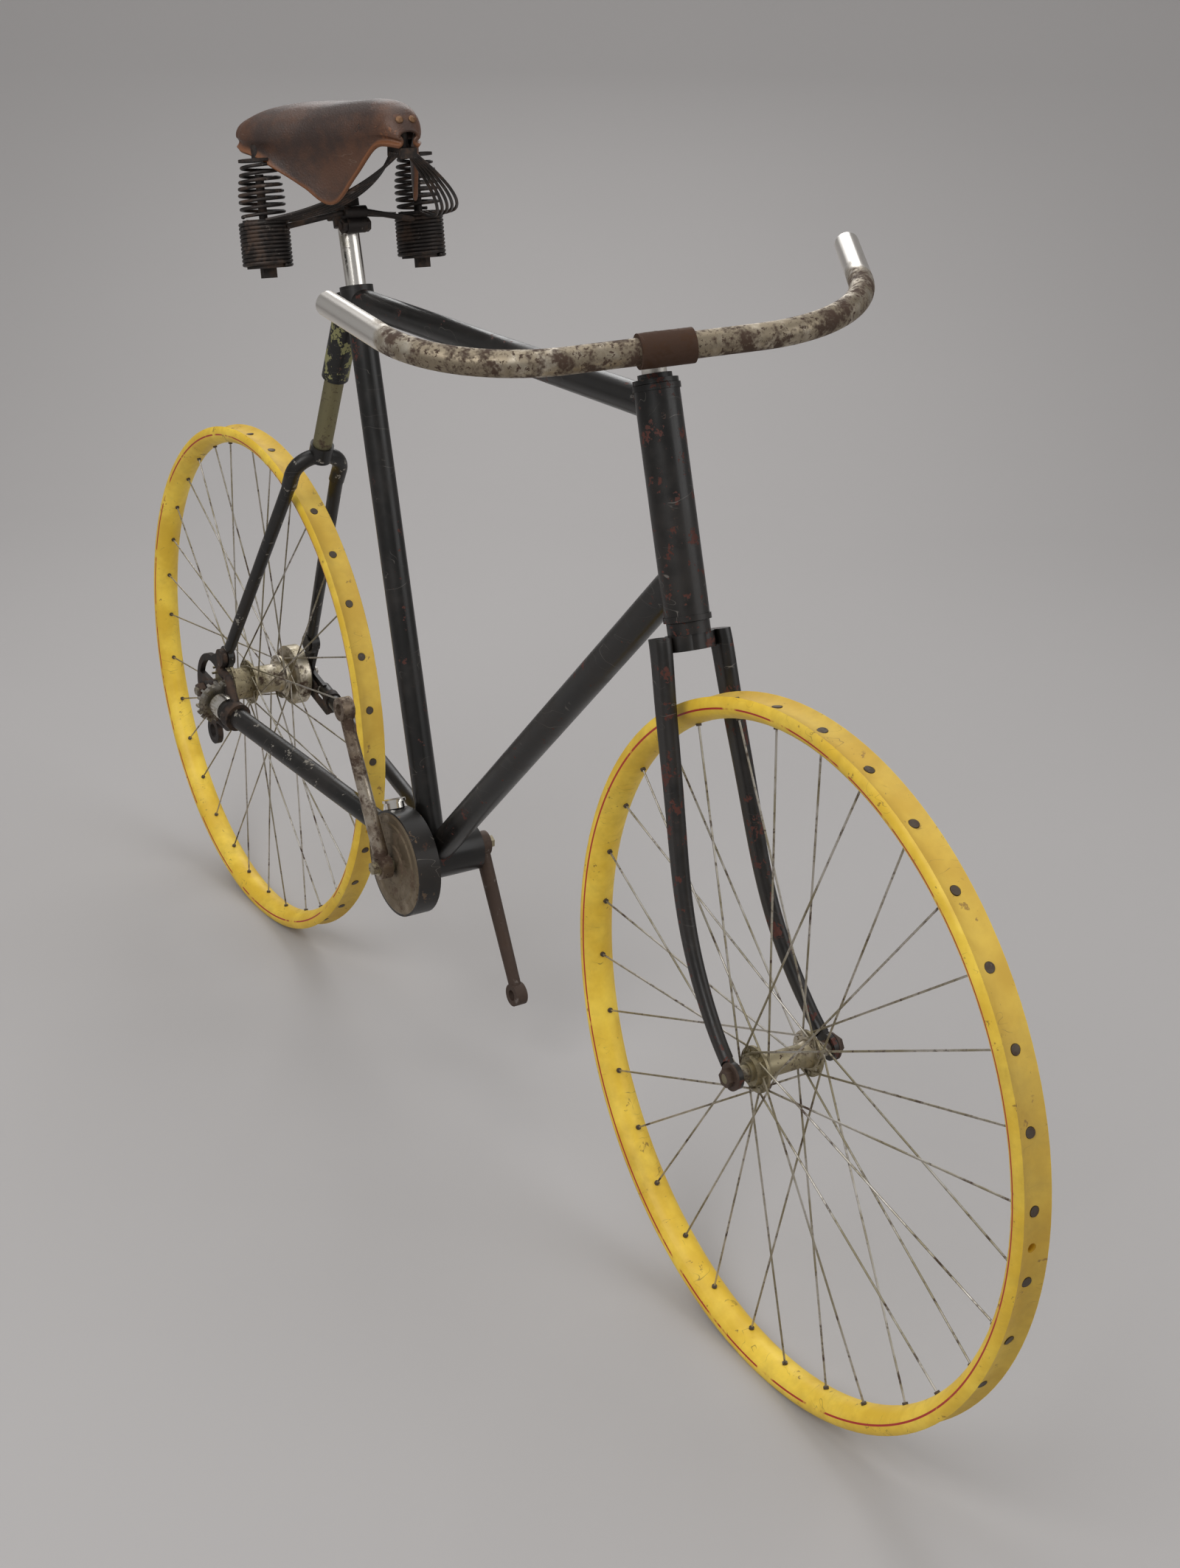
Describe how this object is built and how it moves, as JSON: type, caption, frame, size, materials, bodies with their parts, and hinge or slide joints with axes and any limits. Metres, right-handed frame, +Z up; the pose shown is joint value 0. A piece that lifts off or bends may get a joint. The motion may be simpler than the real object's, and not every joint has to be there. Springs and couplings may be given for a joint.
{
  "type": "shaft-drive bicycle",
  "caption": "Antique safety bicycle with a bevel-gear drive shaft, a telescoping cushion seat stay, bare wood rims, an upturned bar and a sprung leather saddle; no tyres, pedals or chain.",
  "frame": {"origin": "centre of the bottom bracket, on the crank axis and in the frame's middle plane", "axes": "+X forward along the ground, +Y to the rider's left along the crank axis, +Z up"},
  "size_m": [1.7467, 0.4947, 1.0594],
  "materials": {
    "black_enamel": "satin",
    "worn_nickel": "satin",
    "bright_nickel": "gloss",
    "brown_steel": "matte",
    "bare_steel": "satin",
    "yellow_rim": "satin",
    "leather": "satin",
    "rubber": "matte",
    "bronze": "satin",
    "black_iron": "satin"
  },
  "bodies": {
    "frame": {"head_tube": "black_enamel", "top_tube": "black_enamel", "down_tube": "black_enamel", "seat_tube": "black_enamel", "seat_lug": "black_enamel", "seat_bolt": "worn_nickel", "bottom_bracket_shell": "black_enamel", "bottom_bracket_cups": "bare_steel", "head_races": "bright_nickel", "cushion_cylinder": "black_enamel", "cushion_block": "rubber"},
    "fork": {"fork_crown": "black_enamel", "fork_blades": "black_enamel", "head_cap": "black_enamel", "handlebar_stem": "brown_steel", "stem_bolt": "bright_nickel", "front_axle": "bare_steel", "front_cones": "bare_steel", "front_axle_nuts": "brown_steel"},
    "handlebar": {"handlebar": "worn_nickel"},
    "front_wheel": {"front_rim": "yellow_rim", "front_spokes": "bare_steel", "front_nipples": "bare_steel", "front_hub": "worn_nickel"},
    "rear_fork": {"gear_housing": "black_enamel", "cover_disc": "bronze", "oil_plug": "bright_nickel", "drive_tube": "black_enamel", "drive_tube_collar": "bright_nickel", "left_chain_stay": "black_enamel", "loop_bracket": "black_iron", "rear_axle": "bare_steel", "rear_cones": "bare_steel", "rear_axle_nuts": "brown_steel", "brake_arm": "black_iron", "brake_clip": "black_iron"},
    "seat_stays": {"plunger": "worn_nickel", "seat_stays": "black_enamel"},
    "crankset": {"crank_spindle": "bare_steel", "right_crank": "bright_nickel", "left_crank": "brown_steel", "crank_bolts": "bright_nickel", "crank_gear": "bare_steel"},
    "drive_shaft": {"drive_shaft": "bare_steel", "front_pinion": "bare_steel", "rear_pinion": "bare_steel"},
    "rear_wheel": {"rear_rim": "yellow_rim", "rear_spokes": "bare_steel", "rear_nipples": "bare_steel", "rear_hub": "worn_nickel", "hub_gear": "bare_steel"},
    "seat_post": {"seat_post": "bright_nickel"},
    "saddle_base": {"saddle_coils": "black_iron", "saddle_rods": "black_iron", "saddle_wires": "black_iron", "saddle_clamp": "black_iron", "saddle_springs": "black_iron", "nose_wires": "black_iron"},
    "saddle_top": {"saddle_leather": "leather", "saddle_frame": "black_iron"}
  },
  "joints": [
    {"name": "steering", "type": "hinge", "parent": "frame", "child": "fork", "pos_m": [0.463, 0, 0.4083], "axis": [-0.304, 0, 0.9527], "range_deg": [-40, 40]},
    {"name": "bar_tilt", "type": "hinge", "parent": "fork", "child": "handlebar", "pos_m": [0.4299, -0.01141, 0.63812], "axis": [0.2717, 0.9585, 0.0867], "range_deg": [-4, 4]},
    {"name": "front_wheel_spin", "type": "hinge", "parent": "fork", "child": "front_wheel", "pos_m": [0.63488, -0.00187, 0.05808], "axis": [0.0311, 0.9995, 0.0099], "continuous": true},
    {"name": "cushion_swing", "type": "hinge", "parent": "frame", "child": "rear_fork", "pos_m": [0, 0, 0], "axis": [0, 1, 0], "range_deg": [0, 0.938], "stiffness_Nm_per_rad": 18000},
    {"name": "stays_slide", "type": "slide", "parent": "frame", "child": "seat_stays", "axis": [0.4067, 0, 0.9135], "range_m": [0, 0.0078], "deforming": ["cushion_block"]},
    {"name": "rear_wheel_spin", "type": "hinge", "parent": "rear_fork", "child": "rear_wheel", "pos_m": [-0.4667, 0, 0.0581], "axis": [0, 1, 0], "continuous": true},
    {"name": "shaft_spin", "type": "hinge", "parent": "rear_fork", "child": "drive_shaft", "pos_m": [-0.04953, -0.0185, 0.00617], "axis": [-0.9819, -0.1444, 0.1222], "continuous": true},
    {"name": "crank_spin", "type": "hinge", "parent": "frame", "child": "crankset", "pos_m": [0, 0, 0], "axis": [0, 1, 0], "continuous": true},
    {"name": "seat_post_height", "type": "slide", "parent": "frame", "child": "seat_post", "axis": [-0.2713, 0, 0.9625], "range_m": [-0.02, 0.03]},
    {"name": "saddle_turn", "type": "hinge", "parent": "seat_post", "child": "saddle_base", "pos_m": [-0.19268, 0, 0.6835], "axis": [-0.2713, 0, 0.9625], "range_deg": [-15, 15]},
    {"name": "saddle_bounce", "type": "slide", "parent": "saddle_base", "child": "saddle_top", "axis": [-0.1668, 0, 0.986], "range_m": [-0.008, 0], "stiffness_N_per_m": 40000, "deforming": ["saddle_springs", "nose_wires"]}
  ],
  "couplings": [
    {"joint": "stays_slide", "follows": "cushion_swing", "m_per_rad": 0.44291},
    {"joint": "shaft_spin", "follows": "rear_wheel_spin", "ratio": 1.25},
    {"joint": "crank_spin", "follows": "rear_wheel_spin", "ratio": 0.39062}
  ]
}
